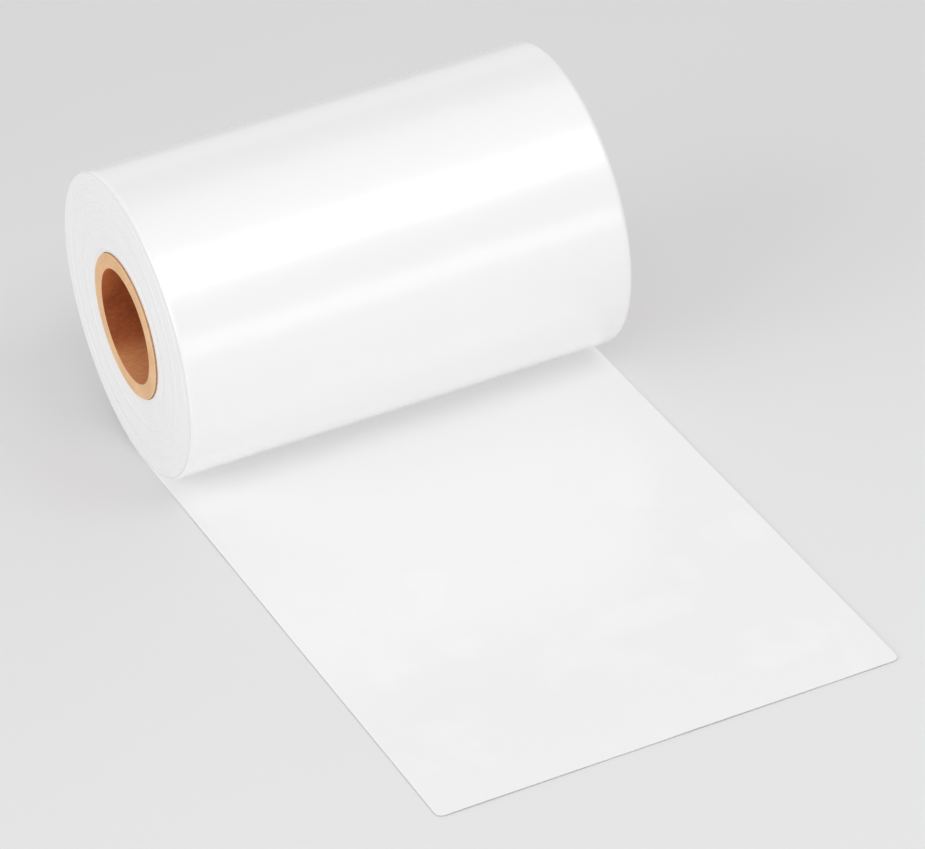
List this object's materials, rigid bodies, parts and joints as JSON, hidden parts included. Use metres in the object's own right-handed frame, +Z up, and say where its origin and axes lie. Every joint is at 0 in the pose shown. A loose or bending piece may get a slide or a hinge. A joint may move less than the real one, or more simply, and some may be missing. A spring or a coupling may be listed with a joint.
{
  "type": "roll of poly tubing",
  "caption": "Roll of milky lay-flat poly tubing wound on a cardboard core, lying on its side with its two-ply tail drawn out flat.",
  "frame": {"origin": "on the floor, below the middle of the roll, in the flat spot that the roll rests on", "axes": "+X along the core, +Z up, and the tail runs along the floor towards -Y"},
  "size_m": [0.3078, 0.5476, 0.2026],
  "materials": {
    "core_board": "spiral-wound kraft paperboard, matt",
    "poly_film": "milky white polyethylene film, soft gloss"
  },
  "bodies": {
    "root": {"core": "core_board", "tubing": "poly_film"}
  },
  "joints": []
}
